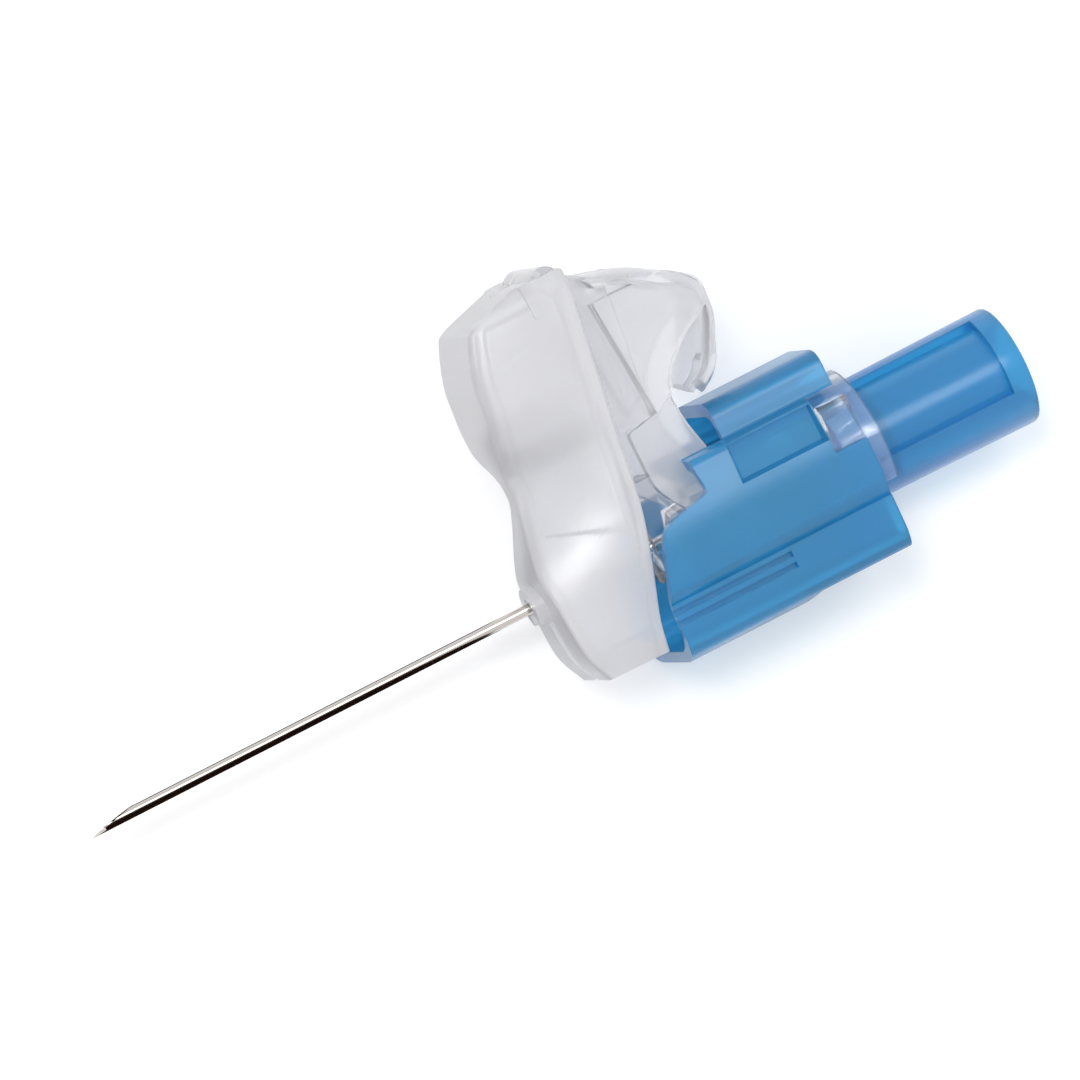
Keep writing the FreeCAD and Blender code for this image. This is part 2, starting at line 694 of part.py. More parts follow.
def make_distal_arm():
    """Clear moulding: the channel that folds out over the needle and covers its tip."""
    body = new_body("distal_arm")
    shield_loft(body, "AdditiveLoft", "shell", "0", "0")
    shield_loft(body, "SubtractiveLoft", "channel", "shield_wall", "3")

    boss_share, boss_front = shield_section(SHIELD_SECTIONS[2])[:2]
    boss = sketch_on(body, "boss_section", "YZ_Plane",
                     "%s + %s * %s - %s - boss_proud" % (
                         GUIDE_X, boss_share, HALF_BASE, boss_front))
    circle(boss, "0", "0", "boss_d / 2")
    feature(body, "Pad", "needle_boss", boss, "boss_proud + shield_wall")

    ear = sketch_on(body, "knee_ear", "XY_Plane")
    circle(ear, KNEE_X, KNEE_Y, "knee_ear_d / 2")
    feature(body, "Pad", "knee_ears", ear, "2 * (shield_half + ear_proud)", both_sides=True)

    top = sketch_on(body, "knuckle_room", "XY_Plane")
    room = "(knuckle_d / 2 + side_gap)"
    outline(top, [
        ("%s - %s" % (KNEE_X, room), "%s - %s" % (KNEE_Y, room)),
        ("%s + 3" % KNEE_X, "%s - %s" % (KNEE_Y, room)),
        ("%s + 3" % KNEE_X, "%s + 3" % KNEE_Y),
        ("%s - %s" % (KNEE_X, room), "%s + 3" % KNEE_Y),
    ])
    feature(body, "Pocket", "knuckle_gap", top, "2 * (leg_outside + side_gap)",
            both_sides=True)
    slot = sketch_on(body, "top_slot_outline", "XY_Plane")
    outline(slot, [
        ("%s - top_slot_length" % KNEE_X, "%s - %s" % (KNEE_Y, room)),
        (KNEE_X, "%s - %s" % (KNEE_Y, room)),
        (KNEE_X, "%s + 3" % KNEE_Y),
        ("%s - top_slot_length" % KNEE_X, "%s + 3" % KNEE_Y),
    ])
    feature(body, "Pocket", "top_slot", slot, "needle_notch", both_sides=True)
    hole = sketch_on(body, "knee_hole", "XY_Plane")
    circle(hole, KNEE_X, KNEE_Y, "knee_pin_d / 2 + running_gap")
    feature(body, "Pocket", "knee_bore", hole, both_sides=True)

    guide = sketch_on(body, "guide_section", "YZ_Plane",
                      "%s - 8" % GUIDE_X)
    circle(guide, "0", "0", "guide_hole_d / 2")
    feature(body, "Pocket", "guide_hole", guide, "8", back=True)
    slit = sketch_on(body, "slit_outline", "XY_Plane")
    outline(slit, [
        ("%s - 8" % GUIDE_X, "-arm_length"),
        ("%s + 1.5" % GUIDE_X, "-arm_length"),
        ("%s + 1.5" % GUIDE_X, "-3.4"),
        ("%s - 0.5" % GUIDE_X, "0"),
        ("%s - 8" % GUIDE_X, "0"),
    ])
    feature(body, "Pocket", "needle_slit", slit, "guide_hole_d", both_sides=True)
    return body


pieces = [
    make_cannula(),
    make_adhesive(),
    make_hub(),
    make_mount(),
    make_proximal_arm(),
    make_distal_arm(),
]
doc.recompute()

for item in doc.Objects:
    if "Invalid" in item.State or "Error" in item.State:
        raise RuntimeError("%s did not recompute: %s" % (item.Name, item.State))
for piece in pieces:
    shape = piece.Shape
    if shape.isNull() or not shape.isValid():
        raise RuntimeError("%s has no valid shape" % piece.Label)
    print("%-14s %d solid, %7.2f mm3" % (piece.Label, len(shape.Solids), shape.Volume))
    shape.exportStep("parts/%s.step" % piece.Label)
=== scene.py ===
import json
import math

import bmesh
import bpy
from mathutils import Matrix, Vector


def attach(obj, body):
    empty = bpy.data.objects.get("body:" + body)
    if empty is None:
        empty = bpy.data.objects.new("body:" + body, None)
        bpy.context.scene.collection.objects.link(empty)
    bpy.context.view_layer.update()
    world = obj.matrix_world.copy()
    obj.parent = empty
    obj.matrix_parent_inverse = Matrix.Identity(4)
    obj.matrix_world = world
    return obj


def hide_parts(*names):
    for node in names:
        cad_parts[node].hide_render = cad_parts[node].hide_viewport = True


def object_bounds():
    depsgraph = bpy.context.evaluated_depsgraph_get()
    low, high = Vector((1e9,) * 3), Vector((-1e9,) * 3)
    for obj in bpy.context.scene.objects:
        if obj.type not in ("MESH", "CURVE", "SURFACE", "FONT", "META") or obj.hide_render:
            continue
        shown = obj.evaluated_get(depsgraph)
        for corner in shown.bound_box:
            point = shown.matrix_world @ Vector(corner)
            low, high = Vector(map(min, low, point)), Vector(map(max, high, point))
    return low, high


# Looks of a safety hypodermic needle, lying on its side with the shield folded.
# X runs along the needle with the tip at minus X, Y is the way the shield stands, Z is up.
# The mouldings are made in millimetres and brought to metres when they are finished.
# The camera, lamps, table and cards are in metres.

MM = 0.001

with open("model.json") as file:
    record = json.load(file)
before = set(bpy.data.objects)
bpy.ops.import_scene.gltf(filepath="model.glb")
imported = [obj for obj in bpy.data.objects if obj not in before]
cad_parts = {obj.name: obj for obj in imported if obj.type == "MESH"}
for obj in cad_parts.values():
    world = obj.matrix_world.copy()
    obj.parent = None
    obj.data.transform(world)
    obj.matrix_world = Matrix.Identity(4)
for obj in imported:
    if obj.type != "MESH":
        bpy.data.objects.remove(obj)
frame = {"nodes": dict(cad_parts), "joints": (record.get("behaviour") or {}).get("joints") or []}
cad_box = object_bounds()
nodes = frame["nodes"]
joint_place = {joint["name"]: Vector(joint["pos_m"]) for joint in frame["joints"]}
floor_z = cad_box[0].z


def srgb(code):
    """An sRGB hex colour as linear RGBA."""
    parts = [int(code[i:i + 2], 16) / 255 for i in (1, 3, 5)]
    return [c / 12.92 if c <= 0.04045 else ((c + 0.055) / 1.055) ** 2.4 for c in parts] + [1.0]


def add_node(tree, kind, settings=None, **inputs):
    """A node with its settings, and each input given as a value or as a socket to link.

    An input is given by its name, with _ for a space, or as _0, _1 and so on by its place.
    """
    node = tree.nodes.new(kind)
    for name, setting in (settings or {}).items():
        setattr(node, name, setting)
    for name, given in inputs.items():
        place = name[1:]
        socket = node.inputs[int(place) if place.isdigit() else name.replace("_", " ")]
        if isinstance(given, bpy.types.NodeSocket):
            tree.links.new(given, socket)
        else:
            socket.default_value = given
    return node


def new_material(name):
    """An empty node material with its output node."""
    material = bpy.data.materials.new(name)
    material.use_nodes = True
    tree = material.node_tree
    tree.nodes.clear()
    return material, tree, tree.nodes.new("ShaderNodeOutputMaterial")


# Polypropylene bends light this much.
POLYPROPYLENE_IOR = 1.49
# The share of a lamp's light that a wall of each plastic lets through.
CLEAR_PASSES = 0.75
BLUE_PASSES = 0.6
# The unevenness that a polished mould leaves. It is finer on the real part, and drawn as
# coarse as it needs to be to show.
GRAIN_MM = 0.9
GRAIN_DEPTH_MM = 0.006
# The width of the patches in which the mould's polish is brighter or duller.
POLISH_PATCH_MM = 4.0
# Nearly all of a noise's values lie between these.
NOISE_SPAN = (0.25, 0.75)
# The lines that drawing leaves along the tube: how far apart and how deep they are, and how
# many times longer than wide. They are finer on the real tube, and drawn coarse enough to show.
LINE_MM = 0.05
LINE_DEPTH_MM = 0.002
LINE_LENGTH = 50


def mould_grain(tree):
    """The faint unevenness of a moulded surface, as a bump."""
    coords = add_node(tree, "ShaderNodeTexCoord")
    grain = add_node(tree, "ShaderNodeTexNoise", Vector=coords.outputs["Object"],
                     Scale=1 / (GRAIN_MM * MM), Detail=3.0)
    bump = add_node(tree, "ShaderNodeBump", Height=grain.outputs["Fac"], Strength=1.0,
                    Distance=GRAIN_DEPTH_MM * MM)
    return bump.outputs["Normal"]


def mould_polish(tree, polished, dull):
    """A roughness that wanders between two values, as the polish of a mould does."""
    coords = add_node(tree, "ShaderNodeTexCoord")
    patches = add_node(tree, "ShaderNodeTexNoise", Vector=coords.outputs["Object"],
                       Scale=1 / (POLISH_PATCH_MM * MM), Detail=2.0)
    spread = add_node(tree, "ShaderNodeMapRange", Value=patches.outputs["Fac"],
                      From_Min=NOISE_SPAN[0], From_Max=NOISE_SPAN[1],
                      To_Min=polished, To_Max=dull)
    return spread.outputs["Result"]


def moulded_polypropylene(tree, out, tint, haze, polish, passes):
    """Injection moulded polypropylene, whose crystals scatter a share of the light: the haze.

    Lamp light passes through, so that the part casts the light shadow of a translucent wall.
    """
    body = add_node(tree, "ShaderNodeBsdfPrincipled", Base_Color=srgb(tint),
                    Roughness=mould_polish(tree, *polish), IOR=POLYPROPYLENE_IOR,
                    Transmission_Weight=1 - haze, Normal=mould_grain(tree))
    path = add_node(tree, "ShaderNodeLightPath")
    share = add_node(tree, "ShaderNodeMath", {"operation": "MULTIPLY"},
                     _0=path.outputs["Is Shadow Ray"], _1=passes)
    passing = add_node(tree, "ShaderNodeBsdfTransparent")
    mixed = add_node(tree, "ShaderNodeMixShader", _0=share.outputs[0],
                     _1=body.outputs[0], _2=passing.outputs[0])
    tree.links.new(mixed.outputs[0], out.inputs["Surface"])


def clear_polypropylene(name, tint, haze, polish):
    """Natural, undyed polypropylene: milky, and more so in a thicker moulding."""
    material, tree, out = new_material(name)
    moulded_polypropylene(tree, out, tint, haze, polish, CLEAR_PASSES)
    return material


def blue_polypropylene(name):
    """Polypropylene dyed blue: see-through where thin, and deep blue along its edges."""
    material, tree, out = new_material(name)
    moulded_polypropylene(tree, out, "#47aedd", 0.38, (0.2, 0.26), BLUE_PASSES)
    dye = add_node(tree, "ShaderNodeVolumeAbsorption", Color=srgb("#00e8ff"), Density=560.0)
    tree.links.new(dye.outputs[0], out.inputs["Volume"])
    return material


def drawn_steel():
    """Stainless steel tube, cold drawn and electropolished: a bright mirror along its length."""
    material, tree, out = new_material("drawn_stainless_steel")
    coords = add_node(tree, "ShaderNodeTexCoord")
    along = add_node(tree, "ShaderNodeMapping", Vector=coords.outputs["Object"],
                     Scale=(1 / LINE_LENGTH, 1.0, 1.0))
    lines = add_node(tree, "ShaderNodeTexNoise", Vector=along.outputs[0],
                     Scale=1 / (LINE_MM * MM), Detail=2.0)
    bump = add_node(tree, "ShaderNodeBump", Height=lines.outputs["Fac"], Strength=0.4,
                    Distance=LINE_DEPTH_MM * MM)
    body = add_node(tree, "ShaderNodeBsdfPrincipled", Base_Color=srgb("#c9c4bf"), Metallic=1.0,
                    Roughness=0.12, Normal=bump.outputs["Normal"])
    tree.links.new(body.outputs[0], out.inputs["Surface"])
    return material


def cured_epoxy():
    """Epoxy bead, cured glossy and faintly yellow."""
    material, tree, out = new_material("cured_epoxy")
    body = add_node(tree, "ShaderNodeBsdfPrincipled", Base_Color=srgb("#ece9da"),
                    Roughness=0.12, IOR=1.55, Transmission_Weight=0.6)
    tree.links.new(body.outputs[0], out.inputs["Surface"])
    return material


finishes = {
    "cannula": drawn_steel(),
    "adhesive_bead": cured_epoxy(),
    "needle_hub": blue_polypropylene("dyed_polypropylene"),
    "shield_mount": clear_polypropylene("natural_polypropylene_mount", "#f7f7fa", 0.05,
                                        (0.09, 0.16)),
    "proximal_arm": clear_polypropylene("natural_polypropylene_arm", "#eeeef1", 0.25,
                                        (0.13, 0.20)),
    "distal_arm": clear_polypropylene("natural_polypropylene_shield", "#e9e9ec", 0.45,
                                      (0.29, 0.36)),
}
for node_name, finish in finishes.items():
    slots = nodes[node_name].data.materials
    slots.clear()
    slots.append(finish)

# The most of a side that the curve of one of its corners takes.
CORNER_SHARE = 0.45
# What lies closer together than this, in millimetres, or bends less, is made one.
MERGE_MM = 0.002
FLAT_DEGREES = 1.0
EDGE_SEGMENTS = 3


def smooth_through(places, x):
    """The height at x of a curve through (x, height) places that never swings past them."""
    slopes = [(b[1] - a[1]) / (b[0] - a[0]) for a, b in zip(places, places[1:])]
    tangents = [slopes[0]]
    for before, after in zip(slopes, slopes[1:]):
        same_way = before * after > 0
        tangents.append(2 * before * after / (before + after) if same_way else 0.0)
    tangents.append(slopes[-1])
    span = 0
    while span < len(slopes) - 1 and x > places[span + 1][0]:
        span += 1
    (x0, y0), (x1, y1) = places[span], places[span + 1]
    run = x1 - x0
    t = (x - x0) / run
    return (y0 * (2 * t ** 3 - 3 * t ** 2 + 1) + y1 * (3 * t ** 2 - 2 * t ** 3)
            + run * tangents[span] * (t ** 3 - 2 * t ** 2 + t)
            + run * tangents[span + 1] * (t ** 3 - t ** 2))


def curve_points(places, per_span):
    """Points on a smooth curve through flat places, evenly spaced along the run of them."""
    steps = [0.0]
    for a, b in zip(places, places[1:]):
        steps.append(steps[-1] + math.dist(a, b))
    along = [list(zip(steps, [p[axis] for p in places])) for axis in (0, 1)]
    count = per_span * (len(places) - 1)
    return [tuple(smooth_through(axis, steps[-1] * i / count) for axis in along)
            for i in range(count + 1)]


def new_piece(name, verts, faces):
    """A closed mesh in millimetres, with its faces pointing outwards."""
    mesh = bpy.data.meshes.new(name)
    piece = bpy.data.objects.new(name, mesh)
    bpy.context.scene.collection.objects.link(piece)
    work = bmesh.new()
    made = [work.verts.new(v) for v in verts]
    for face in faces:
        work.faces.new([made[i] for i in face])
    bmesh.ops.recalc_face_normals(work, faces=work.faces)
    work.to_mesh(mesh)
    work.free()
    return piece


def loft(name, rings):
    """A closed solid through rings that have as many points each."""
    count = len(rings[0])
    verts = [v for ring in rings for v in ring]
    faces = [list(range(count))[::-1], [len(verts) - count + i for i in range(count)]]
    for level in range(len(rings) - 1):
        low = level * count
        for i in range(count):
            j = (i + 1) % count
            faces.append([low + i, low + j, low + count + j, low + count + i])
    return new_piece(name, verts, faces)


def prism(name, outline, low, high):
    """An outline in the X and Y plane, raised from one height to another along Z."""
    return loft(name, [[(x, y, z) for x, y in outline] for z in (low, high)])


def arc_points(centre, radius, count):
    """A full circle in the X and Y plane."""
    return [(centre[0] + radius * math.cos(i * math.tau / count),
             centre[1] + radius * math.sin(i * math.tau / count)) for i in range(count)]


def oblong(first, last):
    """The four corners of a rectangle between two of them."""
    return [(first[0], first[1]), (last[0], first[1]), (last[0], last[1]), (first[0], last[1])]


def placed(corners, start):
    """Corners given from a start, each with its own radius if it has one."""
    return [(start.x + corner[0], start.y + corner[1], *corner[2:]) for corner in corners]


def rounded(corners, radius, steps=5):
    """An outline with each corner curved, by its own third number or by the radius."""
    points = []
    last = len(corners)
    for i in range(last):
        corner = Vector(corners[i][:2])
        curve = corners[i][2] if len(corners[i]) > 2 else radius
        ends = []
        for other in (Vector(corners[i - 1][:2]), Vector(corners[(i + 1) % last][:2])):
            reach = min(curve, CORNER_SHARE * (other - corner).length)
            ends.append(corner + (other - corner).normalized() * reach)
        for step in range(steps + 1):
            t = step / steps
            points.append(tuple(ends[0] * (1 - t) ** 2 + corner * 2 * t * (1 - t)
                                + ends[1] * t ** 2))
    return points


def bar_along_x(name, section, start, end):
    """A section in the Y and Z plane, carried along the needle."""
    return loft(name, [[(x, y, z) for y, z in section] for x in (start, end)])


def turned_along_x(name, profile, count=96):
    """A turned solid on the needle's axis, from its places along X and the radius at each."""
    return loft(name, [[(x, y, z) for y, z in arc_points((0, 0), radius, count)]
                       for x, radius in profile])


def both_halves(half):
    """A section from its half at positive Z."""
    return half + [(place[0], -place[1], *place[2:]) for place in reversed(half)]


def bake(piece):
    """Turns a piece's modifiers into plain mesh."""
    graph = bpy.context.evaluated_depsgraph_get()
    mesh = bpy.data.meshes.new_from_object(piece.evaluated_get(graph))
    piece.modifiers.clear()
    piece.data = mesh


def combine(piece, tool, operation):
    """Joins a piece with a tool, or cuts it with one. The tool is used up."""
    change = piece.modifiers.new("change", "BOOLEAN")
    change.operation = operation
    change.solver = "EXACT"
    change.object = tool
    bake(piece)
    bpy.data.objects.remove(tool)


def soften(piece, radius, angle):
    """Rounds each edge sharper than the angle, as the mould's own edges are."""
    work = bmesh.new()
    work.from_mesh(piece.data)
    bmesh.ops.remove_doubles(work, verts=work.verts, dist=MERGE_MM)
    bmesh.ops.dissolve_degenerate(work, edges=work.edges, dist=MERGE_MM)
    bmesh.ops.dissolve_limit(work, angle_limit=math.radians(FLAT_DEGREES), verts=work.verts,
                             edges=work.edges)
    work.to_mesh(piece.data)
    work.free()
    for polygon in piece.data.polygons:
        polygon.use_smooth = True
    round_off = piece.modifiers.new("edges", "BEVEL")
    round_off.width = radius
    round_off.segments = EDGE_SEGMENTS
    round_off.limit_method = "ANGLE"
    round_off.angle_limit = math.radians(angle)
    round_off.harden_normals = True
    bake(piece)


def stand_for(piece, node, body):
    """Brings a finished piece to metres and puts it in a solid's place."""
    piece.data.transform(Matrix.Scale(MM, 4))
    piece.data.materials.clear()
    piece.data.materials.append(finishes[node])
    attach(piece, body)
    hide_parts(node)


def copy_of(node, name):
    """A solid's mesh as a piece of its own, in millimetres."""
    mesh = nodes[node].data.copy()
    mesh.transform(Matrix.Scale(1 / MM, 4))
    piece = bpy.data.objects.new(name, mesh)
    bpy.context.scene.collection.objects.link(piece)
    return piece


# All sizes from here to the making of the pieces are in millimetres.
# Pivots of the folding linkage, and the wall of its mouldings.
HINGE = joint_place["arm_hinge"] / MM
KNEE = joint_place["knee_hinge"] / MM
GUIDE_X = 2 * KNEE.x - HINGE.x
KNEE_RISE = KNEE.y - HINGE.y
WALL = 0.7
# How far the shield's cutters run out of it.
CLEAR_OUT = 3.0

# The shield's sections from its lower end to its top: share of the way from the pivots'
# line up to the knee, then the depth in front of the arm's centre line, the half width
# there, the depth behind the centre line, the half width there, and the front corner's radius.
SHIELD_SECTIONS = [
    (-0.171, 1.20, 2.90, 2.20, 3.30, 0.3),
    (-0.071, 2.31, 3.10, 2.04, 3.50, 0.3),
    (0.088, 3.16, 2.90, 2.19, 3.70, 0.3),
    (0.218, 3.79, 2.30, 2.26, 3.80, 0.3),
    (0.424, 3.64, 0.90, 1.96, 3.90, 0.3),
    (0.482, 3.88, 0.80, 1.82, 3.90, 0.3),
    (0.612, 4.66, 2.70, 1.59, 3.90, 0.4),
    (0.718, 4.94, 3.40, 1.41, 3.90, 0.45),
    (0.824, 5.18, 3.40, 1.22, 3.90, 0.45),
    (0.959, 4.93, 3.30, 0.92, 3.90, 0.4),
    (1.029, 1.90, 3.10, 0.50, 3.90, 0.4),
]
RING_STEP = 0.11
LEAST_RING_STEP = 0.01
CORNER_STEPS = 6
SIDE_STEPS = 40
# The front corner's curve: how much of a wall comes off its radius inside, its least radius,
# and the most of the front's half width that it takes.
CORNER_LIMITS = (0.6, 0.2, 0.85)
# The raised land on each side of the shield: how proud it is, the line of its lower edge, how
# far it stays from the crease, from the rear edge and below the knee, and how wide its slope is.
LAND_PROUD = 0.15
LAND_EDGE = ((-26.5, 2.86), (-22.6, 1.5))
LAND_MARGINS = (0.4, 0.75)
LAND_BELOW_KNEE = 0.6
LAND_SLOPE = 0.28
# The rolled rim along the rear edge: how far before the edge, and how far it stands out.
RIM = [(0.62, 0.0), (0.52, 0.06), (0.42, 0.09), (0.14, 0.09), (0.04, 0.04), (0.0, -0.05)]
# The boss round the guide hole stands on the front at this row of the table: how proud it is,
# how far it reaches in, and its radius at both ends.
BOSS_SECTION = 2
BOSS_PROUD = 0.7
BOSS_SUNK = 0.9
BOSS_RADII = (1.12, 1.18)
# The guide hole round the needle, and how far forward it is cut.
GUIDE_RADIUS = 0.55
GUIDE_FACETS = 40
GUIDE_RUN = 8.0
# The slit under it: half its width, and its outline with X from the hole's rear end.
SLIT_HALF = 0.5
SLIT_OUTLINE = [(-GUIDE_RUN, -8.0), (1.5, -8.0), (1.5, -3.4), (-0.5, 0.0), (-GUIDE_RUN, 0.0)]
# The blocks inside the shield's two walls that hold the knee pin, from the knee.
KNEE_BLOCK = [(-1.6, -1.5), (0.75, -1.5), (0.85, -0.5), (0.8, 0.5), (-1.6, 0.5)]
KNEE_BLOCK_SPAN = (3.05, 3.92)
PIN_BORE_RADIUS = 0.55
PIN_BORE_HALF = 3.65
# The room round the knuckle, and the slot that the needle passes through as the shield folds.
KNUCKLE_ROOM = 1.05
SHIELD_SLOT_REACH = 2.2
SHIELD_SLOT_HALF = 0.55


def ramp(distance):
    """Nothing before an edge and one after it, with a soft step between."""
    t = min(max(distance / LAND_SLOPE, 0.0), 1.0)
    return t * t * (3 - 2 * t)


def land_height(share, x, crease_x, rear_x):
    """How far the shield's side stands out at a place, given from the arm's centre line."""
    y = HINGE.y + share * KNEE_RISE
    (x0, y0), (x1, y1) = LAND_EDGE
    middle = GUIDE_X + (KNEE.x - GUIDE_X) * share
    edge_y = y0 + (y1 - y0) * (middle + x - x0) / (x1 - x0)
    return (LAND_PROUD * ramp(y - edge_y) * ramp(x - crease_x - LAND_MARGINS[0])
            * ramp(rear_x - LAND_MARGINS[1] - x) * ramp(KNEE.y - LAND_BELOW_KNEE - y))


def shield_ring(share, inward=0.0, past=0.0):
    """Half a level ring of the shield, its side moved inwards and its rear past the edge."""
    front, front_half, rear, rear_half, corner = (
        smooth_through([(row[0], row[column]) for row in SHIELD_SECTIONS], share)
        for column in range(1, 6))
    lean = (rear_half - front_half) / (front + rear)
    tip = Vector((inward - front, front_half + (lean - 1) * inward))
    edge = Vector((rear + past, rear_half - inward + past * lean))
    along = (edge - tip).normalized()
    off_wall, least, of_half = CORNER_LIMITS
    reach = min(max(corner - off_wall * inward, least), of_half * tip.y)
    half = []
    for step in range(CORNER_STEPS + 1):
        t = step / CORNER_STEPS
        half.append((tip - Vector((0, reach)) * (1 - t) ** 2 + along * reach * t ** 2))
    start = half[-1]
    stops = RIM if not inward else [(0.0, 0.0)]
    side_end = edge - along * stops[0][0]
    outward = Vector((-along.y, along.x))
    for step in range(1, SIDE_STEPS):
        place = start.lerp(side_end, step / SIDE_STEPS)
        if not inward:
            place = place + outward * land_height(share, place.x, start.x, edge.x)
        half.append(place)
    for before, proud in stops:
        half.append(edge - along * before + outward * proud)
    return half


def shield_loft(name, inward, past, trim):
    """The solid through the shield's rings, trimmed by a wall at both ends."""
    low, high = SHIELD_SECTIONS[0][0], SHIELD_SECTIONS[-1][0]
    count = round((high - low) * KNEE_RISE / RING_STEP)
    rings = []
    for level in range(count + 1):
        share = low + (high - low) * level / count
        y = HINGE.y + share * KNEE_RISE
        y = min(max(y, HINGE.y + low * KNEE_RISE + trim), HINGE.y + high * KNEE_RISE - trim)
        if trim and rings and abs(y - rings[-1][0][1]) < LEAST_RING_STEP:
            continue
        middle = GUIDE_X + (KNEE.x - GUIDE_X) * share
        near = [(middle + x, y, z) for x, z in shield_ring(share, inward, past)]
        far = [(x, y, -z) for x, y, z in reversed(near)]
        rings.append(near + far)
    return loft(name, rings)


def make_shield():
    """Natural polypropylene moulding: the channel that folds out over the needle."""
    shield = shield_loft("needle_shield", 0.0, 0.0, 0.0)
    share, front = SHIELD_SECTIONS[BOSS_SECTION][:2]
    boss_front = GUIDE_X + share * (KNEE.x - GUIDE_X) - front
    boss = turned_along_x("boss", [(boss_front - BOSS_PROUD, BOSS_RADII[0]),
                                   (boss_front + BOSS_SUNK, BOSS_RADII[1])])
    combine(shield, boss, "UNION")
    combine(shield, shield_loft("channel", WALL, CLEAR_OUT, WALL), "DIFFERENCE")
    block = rounded(placed(KNEE_BLOCK, KNEE), 0.25)
    for side in (-1, 1):
        inside, outside = sorted(side * z for z in KNEE_BLOCK_SPAN)
        combine(shield, prism("knee_block", block, inside, outside), "UNION")
    gap = oblong((-KNUCKLE_ROOM, -KNUCKLE_ROOM), (CLEAR_OUT, CLEAR_OUT))
    slot = oblong((-SHIELD_SLOT_REACH, -KNUCKLE_ROOM), (0, CLEAR_OUT))
    bore = arc_points((KNEE.x, KNEE.y), PIN_BORE_RADIUS, 32)
    slit = [(GUIDE_X + x, y) for x, y in SLIT_OUTLINE]
    half_gap = KNEE_BLOCK_SPAN[0]
    guide = turned_along_x("guide", [(GUIDE_X - GUIDE_RUN, GUIDE_RADIUS),
                                     (GUIDE_X, GUIDE_RADIUS)], GUIDE_FACETS)
    cutters = [
        prism("knuckle_gap", placed(gap, KNEE), -half_gap, half_gap),
        prism("needle_slot", rounded(placed(slot, KNEE), 0.4), -SHIELD_SLOT_HALF,
              SHIELD_SLOT_HALF),
        prism("pin_bore", bore, -PIN_BORE_HALF, PIN_BORE_HALF),
        guide,
        prism("slit", slit, -SLIT_HALF, SLIT_HALF),
    ]
    for cutter in cutters:
        combine(shield, cutter, "DIFFERENCE")
    soften(shield, 0.1, 32)
    stand_for(shield, "distal_arm", "distal_arm")


# The finger pad's outside from the knee: rearward and up.
PAD_OUTSIDE = [(1.6, -0.35), (3.2, -0.75), (4.7, -1.3), (6.1, -2.1), (7.2, -2.75),
               (7.85, -3.4), (7.85, -4.6), (7.3, -6.6), (6.8, -7.8), (6.2, -8.5), (5.5, -8.95)]
# The place that the pad curls round, from the knee.
PAD_MIDDLE = (4.2, -6.5)
# Half its width, how far its sides fall below its middle outside and inside, and how many
# steps it is drawn in across and along each part of its outside.
PAD_HALF = 3.6
PAD_DOME = 0.7
PAD_INNER_DOME = 0.35
PAD_ACROSS = 14
PAD_ALONG = 4
# The side walls and fork legs, from the middle.
LEG_INSIDE = 2.15
LEG_OUTSIDE = 2.85
# The side walls' outline below the pad, from the knee.
WALL_OUTLINE = [(0.55, -12.2), (0.5, -9.0, 0.2), (2.18, -8.67, 0.1), (1.565, -2.0, 0.12),
                (5.8, -2.06, 0.3), (7.1, -3.1), (7.35, -4.3), (7.03, -4.67), (5.4, -5.5),
                (3.95, -6.8), (3.4, -8.0, 0.5), (3.55, -9.74)]
# The part of that outline, by its first and last place, where the wall is as wide as the pad,
# and how far that part reaches into the wall.
PAD_SIDE = (2, 11)
PAD_SIDE_SUNK = 0.1
# The rest of the outline, round the foot of the fork leg, from the hinge.
LEG_OUTLINE = [(1.15, 0.6), (1.15, -0.4), (0.5, -1.15), (-0.5, -1.15), (-1.15, -0.4),
               (-1.7, 2.0)]
# The thinner plates inside the walls, from the knee.
WEB_OUTLINE = [(-0.75, -0.2), (0.0, 0.65), (2.9, -1.2), (2.1, -8.75, 0.1), (-0.3, -8.75, 0.1)]
WEB_SPAN = (1.95, 2.4)
TRUNNION_RADIUS = 0.6
TRUNNION_SPAN = (2.5, 4.0)
KNUCKLE_RADIUS = 0.85
KNEE_PIN_RADIUS = 0.5
KNEE_PIN_HALF = 3.6
# The slots in the pad's lower edge and at its root, from the knee, and half their width.
PAD_SLOTS = [((2.7, -10.35), (8.3, -7.35)), ((1.05, -1.7), (3.6, 1.7))]
PAD_SLOT_HALF = 0.8


def make_pad():
    """The finger pad: a curved plate, domed from side to side."""
    middle = Vector((KNEE.x + PAD_MIDDLE[0], KNEE.y + PAD_MIDDLE[1]))
    rings = []
    for x, y in curve_points(placed(PAD_OUTSIDE, KNEE), PAD_ALONG):
        inward = (middle - Vector((x, y))).normalized()
        outer, inner = [], []
        for step in range(PAD_ACROSS + 1):
            z = PAD_HALF * (2 * step / PAD_ACROSS - 1)
            sunk = PAD_DOME * (z / PAD_HALF) ** 2
            outer.append((x + inward.x * sunk, y + inward.y * sunk, z))
            deep = min(sunk, PAD_INNER_DOME) + WALL
            inner.append((x + inward.x * deep, y + inward.y * deep, z))
        rings.append(outer + inner[::-1])
    return loft("folding_arm", rings)


